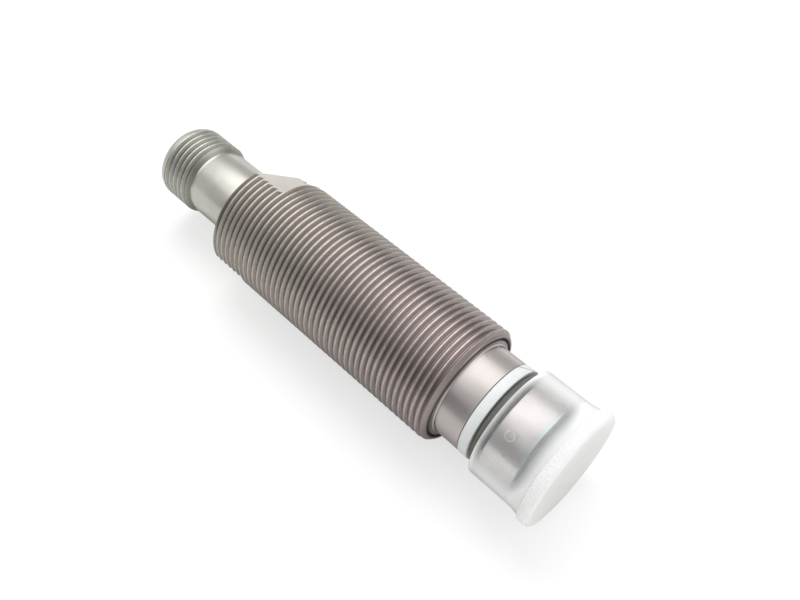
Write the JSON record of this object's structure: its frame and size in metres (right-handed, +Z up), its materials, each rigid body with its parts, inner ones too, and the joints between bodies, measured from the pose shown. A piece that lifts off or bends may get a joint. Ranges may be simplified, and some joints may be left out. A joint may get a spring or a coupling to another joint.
{
  "type": "threaded proximity sensor",
  "caption": "Threaded metal proximity sensor for high pressure: screw barrel with wrench flats, sealing nose with backup ring and O-ring, screw plug at the rear, push-on translucent nose cap.",
  "frame": {"origin": "middle of the overall length, on the surface that the barrel lies on, below the axis", "axes": "+X along the sensor's axis from the plug to the capped nose, +Z up, +Y across"},
  "size_m": [0.0764, 0.018, 0.0179],
  "materials": {
    "barrel_steel": "turned stainless steel, thread cut, bright crests",
    "shell_steel": "turned stainless steel, satin",
    "white_ring": "white fluoropolymer, smooth",
    "dark_rubber": "moulded nitrile rubber",
    "milky_plastic": "translucent moulded polyethylene",
    "black_plastic": "moulded, black",
    "face_plastic": "moulded, blue-grey",
    "gold": "gold-plated contacts",
    "resin": "cast resin",
    "insulation": "insulated wire",
    "copper": "enamelled copper wire",
    "board_green": "lacquered glass laminate",
    "chip_black": "moulded, black",
    "ceramic": "fired, matt",
    "ferrite": "sintered, matt",
    "nylon": "moulded, natural"
  },
  "bodies": {
    "sensor": {"housing_barrel": "barrel_steel", "connector_shell": "shell_steel", "contact_carrier": "black_plastic", "contact_pin_1": "gold", "contact_pin_2": "gold", "contact_pin_3": "gold", "contact_pin_4": "gold", "carrier_seal": "dark_rubber", "rear_potting": "resin", "lead_wire_1": "insulation", "lead_wire_2": "insulation", "lead_wire_3": "insulation", "lead_wire_4": "insulation", "circuit_board": "board_green", "oscillator_chip": "chip_black", "output_transistor": "chip_black", "protection_diode": "chip_black", "filter_capacitor_1": "ceramic", "filter_capacitor_2": "ceramic", "tuning_resistor": "chip_black", "load_resistor": "chip_black", "coil_lead_1": "copper", "coil_lead_2": "copper", "ferrite_core": "ferrite", "coil_bobbin": "nylon", "coil_winding": "copper", "sensing_face": "face_plastic", "backup_ring": "white_ring", "nose_o_ring": "dark_rubber"},
    "cap": {"protective_cap": "milky_plastic"}
  },
  "joints": [
    {"name": "cap_pull", "type": "slide", "parent": "sensor", "child": "cap", "axis": [1, 0, 0], "range_m": [0, 0.025]}
  ]
}
